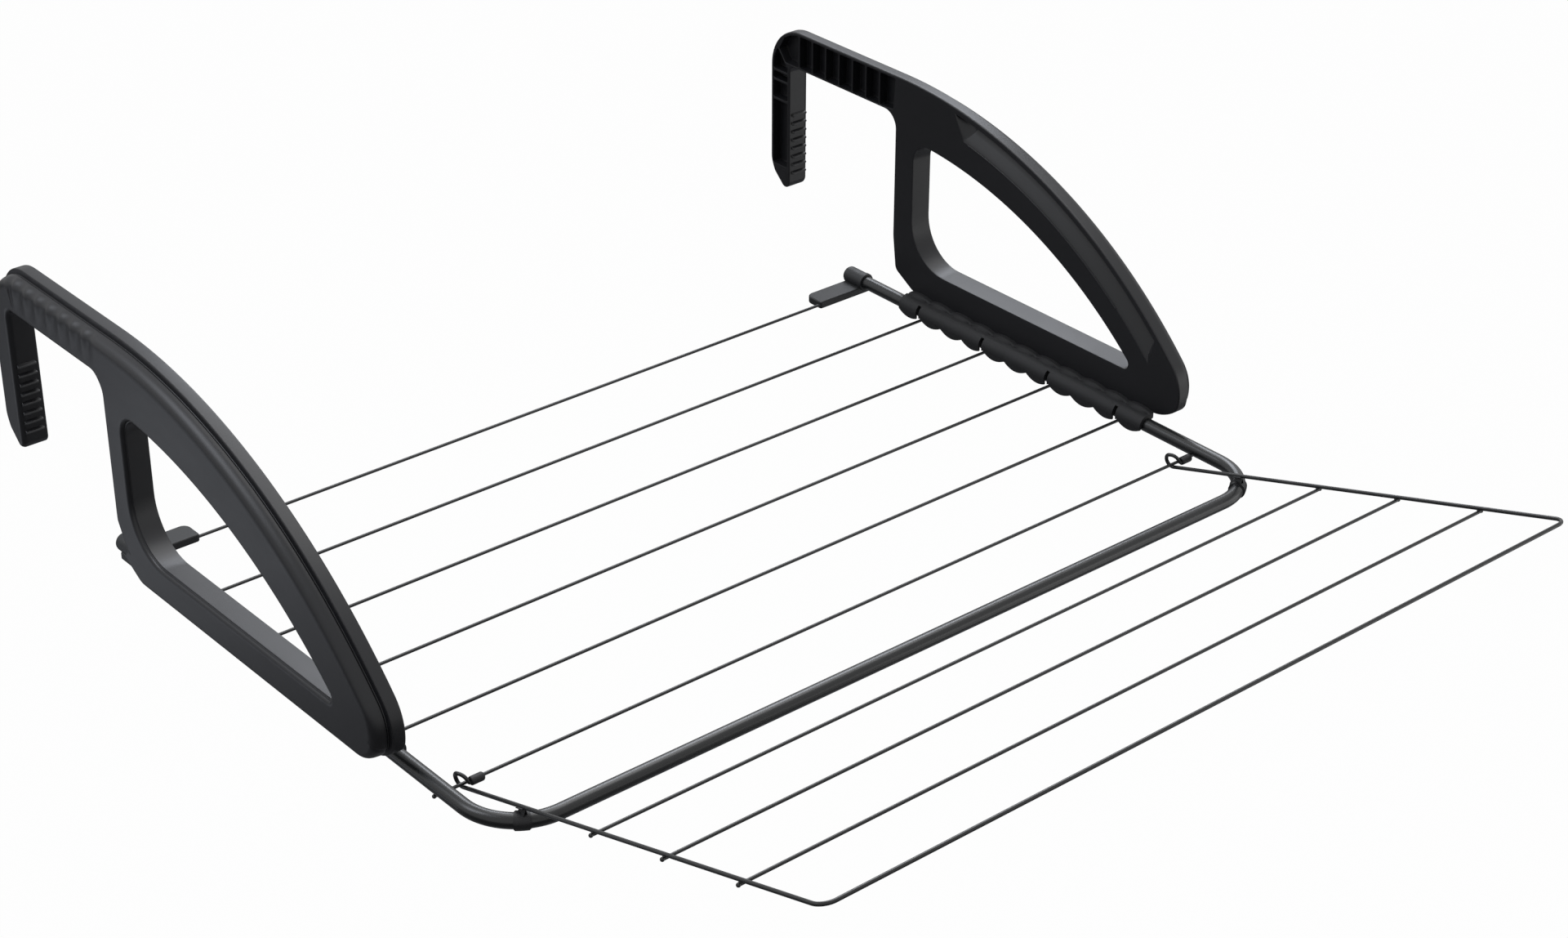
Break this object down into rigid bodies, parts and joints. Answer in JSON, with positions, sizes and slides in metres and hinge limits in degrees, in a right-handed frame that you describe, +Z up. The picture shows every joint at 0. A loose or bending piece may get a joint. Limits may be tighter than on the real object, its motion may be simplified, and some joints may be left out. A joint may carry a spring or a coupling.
{
  "type": "hook-over drying rack",
  "caption": "Hook-over drying rack: U-shaped tube with cross wires, a wire wing that folds out, and moulded brackets that hang on a rail and fold flat.",
  "frame": {"origin": "rail seat: midway between the brackets, in the middle of the hook gap, at the height of the underside of the hook arms", "axes": "+Z up, +Y from the drying wires towards the wall or rail side, +X to the right of someone who stands in front of the rack and faces the wall"},
  "size_m": [0.69, 0.7915, 0.1872],
  "materials": {
    "tube_coat": "gloss black powder coat",
    "wire_coat": "satin black powder coat on steel wire",
    "bracket_plastic": "charcoal moulded plastic, fine grain",
    "clip_plastic": "dark moulded plastic",
    "foot_plastic": "grey-black moulded plastic",
    "rest_plastic": "dark moulded plastic",
    "cap_plastic": "dark soft plastic cap"
  },
  "bodies": {
    "rack": {"main_tube": "tube_coat", "wall_wire": "wire_coat", "rack_wire_2": "wire_coat", "rack_wire_3": "wire_coat", "rack_wire_4": "wire_coat", "rack_wire_5": "wire_coat", "pivot_wire": "wire_coat", "left_foot": "foot_plastic", "right_foot": "foot_plastic", "left_wing_rest": "rest_plastic", "right_wing_rest": "rest_plastic"},
    "left_bracket_unit": {"left_bracket": "bracket_plastic", "left_tube_clip": "clip_plastic"},
    "right_bracket_unit": {"right_bracket": "bracket_plastic", "right_tube_clip": "clip_plastic"},
    "wing": {"wing_frame": "wire_coat", "wing_wire_1": "wire_coat", "wing_wire_2": "wire_coat", "wing_wire_3": "wire_coat", "left_eye_cap": "cap_plastic", "right_eye_cap": "cap_plastic"}
  },
  "joints": [
    {"name": "wing_fold", "type": "hinge", "parent": "rack", "child": "wing", "pos_m": [0, -0.3845, -0.15312], "axis": [-1, 0, 0], "range_deg": [0, 162.5]},
    {"name": "left_bracket_fold", "type": "hinge", "parent": "rack", "child": "left_bracket_unit", "pos_m": [-0.32, -0.2, -0.147], "axis": [0, 1, 0], "range_deg": [0, 90]},
    {"name": "right_bracket_fold", "type": "hinge", "parent": "rack", "child": "right_bracket_unit", "pos_m": [0.32, -0.2, -0.147], "axis": [0, -1, 0], "range_deg": [0, 90]}
  ]
}
